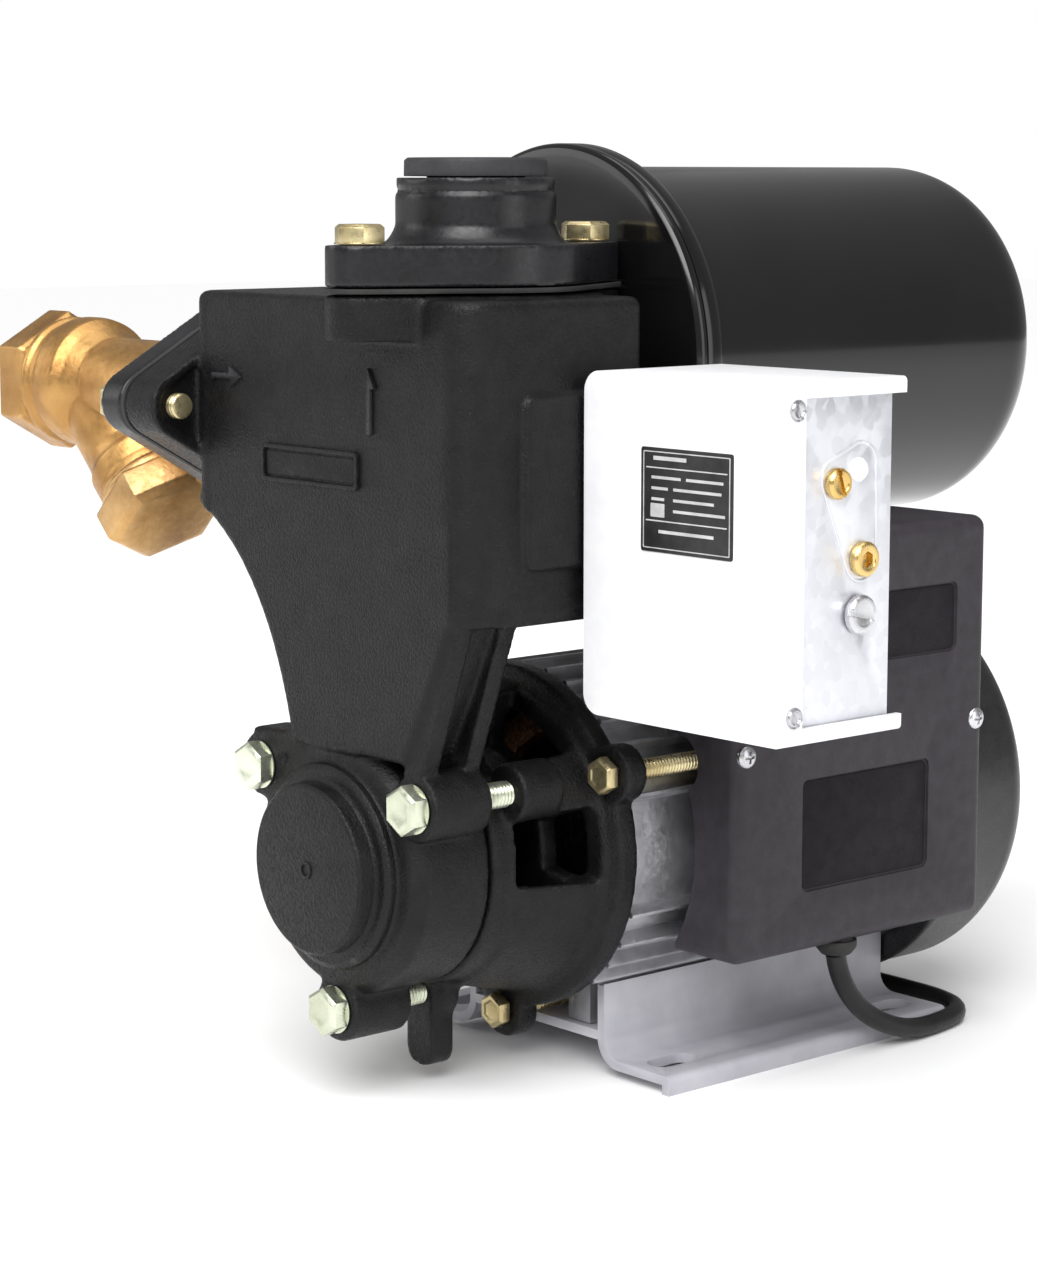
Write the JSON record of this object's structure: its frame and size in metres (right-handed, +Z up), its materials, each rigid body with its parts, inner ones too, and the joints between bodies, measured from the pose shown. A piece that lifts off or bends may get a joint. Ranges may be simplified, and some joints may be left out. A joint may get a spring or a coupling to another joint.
{
  "type": "centrifugal water pump",
  "caption": "Close-coupled self-priming water pump with cast casing, finned motor, horizontal pressure tank, boxed pressure switch, brass suction strainer and a mains lead.",
  "frame": {"origin": "middle of the bottom of the bounding box of the pump without its mains lead, on the floor plane", "axes": "+Y runs along the motor shaft from the pump end to the fan end, +X points to the pressure switch side and away from the suction strainer, +Z is up"},
  "size_m": [0.348, 0.2918, 0.285],
  "materials": {
    "cast_iron": "black stove paint over a sandy casting",
    "tank_enamel": "gloss black enamel",
    "cover_plastic": "fine matt moulded plastic, charcoal",
    "black_plastic": "plain black moulded plastic",
    "cord_rubber": "flexible black sheath",
    "motor_aluminium": "die-cast aluminium",
    "strainer_brass": "rough turned brass",
    "screw_brass": "bright turned brass",
    "yellow_zinc": "yellow passivated zinc plate",
    "bright_steel": "bright ground steel",
    "lamination": "stacked electrical steel",
    "copper_winding": "varnished copper wire",
    "base_paint": "satin grey paint",
    "white_paint": "white powder coat",
    "galvanised": "galvanised sheet with spangle",
    "gasket_rubber": "black rubber",
    "ceramic": "glazed ceramic",
    "capacitor_case": "pale grey plastic can"
  },
  "bodies": {
    "frame": {"pump_casing": "cast_iron", "adaptor_bracket": "cast_iron", "suction_flange": "cast_iron", "delivery_flange": "cast_iron", "casing_o_ring": "gasket_rubber", "suction_gasket": "gasket_rubber", "delivery_gasket": "gasket_rubber", "tank_diaphragm": "gasket_rubber", "wear_ring": "screw_brass", "air_valve": "screw_brass", "switch_nipple": "screw_brass", "suction_bolt_front": "yellow_zinc", "suction_bolt_rear": "yellow_zinc", "delivery_bolt_front": "yellow_zinc", "delivery_bolt_rear": "yellow_zinc", "casing_bolt_right": "yellow_zinc", "casing_bolt_left": "yellow_zinc", "casing_bolt_bottom": "yellow_zinc", "tie_rod_right": "yellow_zinc", "tie_rod_left": "yellow_zinc", "tie_rod_bottom": "yellow_zinc", "contact_block": "black_plastic", "strainer_body": "strainer_brass", "front_bearing_outer_ring": "bright_steel", "rear_bearing_outer_ring": "bright_steel", "tank_nipple": "bright_steel", "conduit_plug": "bright_steel", "stator_core": "lamination", "winding_front": "copper_winding", "winding_rear": "copper_winding", "seal_seat": "ceramic", "motor_housing": "motor_aluminium", "rear_end_shield": "motor_aluminium", "fan_cover": "cover_plastic", "motor_cover": "cover_plastic", "run_capacitor": "capacitor_case", "switch_cover": "white_paint", "terminal_block": "white_paint", "cable_grommet": "cord_rubber", "cord_lead": "cord_rubber", "cord_coil": "cord_rubber", "mains_plug": "cord_rubber", "base_bracket": "base_paint", "tank_shell": "tank_enamel", "tank_end_plate": "tank_enamel", "switch_frame": "galvanised"},
    "rotor": {"shaft": "bright_steel", "impeller": "screw_brass", "impeller_nut": "screw_brass", "seal_head": "bright_steel", "rotor_core": "lamination", "fan": "black_plastic"},
    "flap": {"check_valve_flap": "gasket_rubber"},
    "strainer_cap": {"strainer_cap": "strainer_brass", "strainer_basket": "bright_steel"},
    "transport_plug": {"delivery_plug": "black_plastic"},
    "plunger": {"pressure_plunger": "bright_steel"},
    "lever": {"switch_lever": "bright_steel"},
    "range_adjuster": {"range_screw": "screw_brass"},
    "differential_adjuster": {"differential_screw": "screw_brass"}
  },
  "joints": [
    {"name": "shaft_spin", "type": "hinge", "parent": "frame", "child": "rotor", "pos_m": [0.02905, -0.0361, 0.073], "axis": [0, 1, 0], "continuous": true},
    {"name": "flap_swing", "type": "hinge", "parent": "frame", "child": "flap", "pos_m": [-0.02725, -0.0926, 0.227], "axis": [0, -1, 0], "range_deg": [0, 50]},
    {"name": "strainer_cap_unscrew", "type": "slide", "parent": "frame", "child": "strainer_cap", "axis": [0.7071, 0, -0.7071], "range_m": [0, 0.05]},
    {"name": "transport_plug_lift", "type": "slide", "parent": "frame", "child": "transport_plug", "axis": [0, 0, 1], "range_m": [0, 0.03]},
    {"name": "plunger_travel", "type": "slide", "parent": "frame", "child": "plunger", "axis": [0, 1, 0], "range_m": [0, 0.0015], "stiffness_N_per_m": 400, "springref_m": -0.004},
    {"name": "lever_rock", "type": "hinge", "parent": "frame", "child": "lever", "pos_m": [0.13305, -0.0501, 0.173], "axis": [0, 0, 1], "range_deg": [-5, 0]},
    {"name": "range_screw_turn", "type": "hinge", "parent": "frame", "child": "range_adjuster", "pos_m": [0.17075, -0.0636, 0.193], "axis": [1, 0, 0], "continuous": true},
    {"name": "differential_screw_turn", "type": "hinge", "parent": "frame", "child": "differential_adjuster", "pos_m": [0.17075, -0.0528, 0.1717], "axis": [1, 0, 0], "continuous": true}
  ],
  "couplings": [
    {"joint": "lever_rock", "follows": "plunger_travel", "rad_per_m": -50}
  ]
}
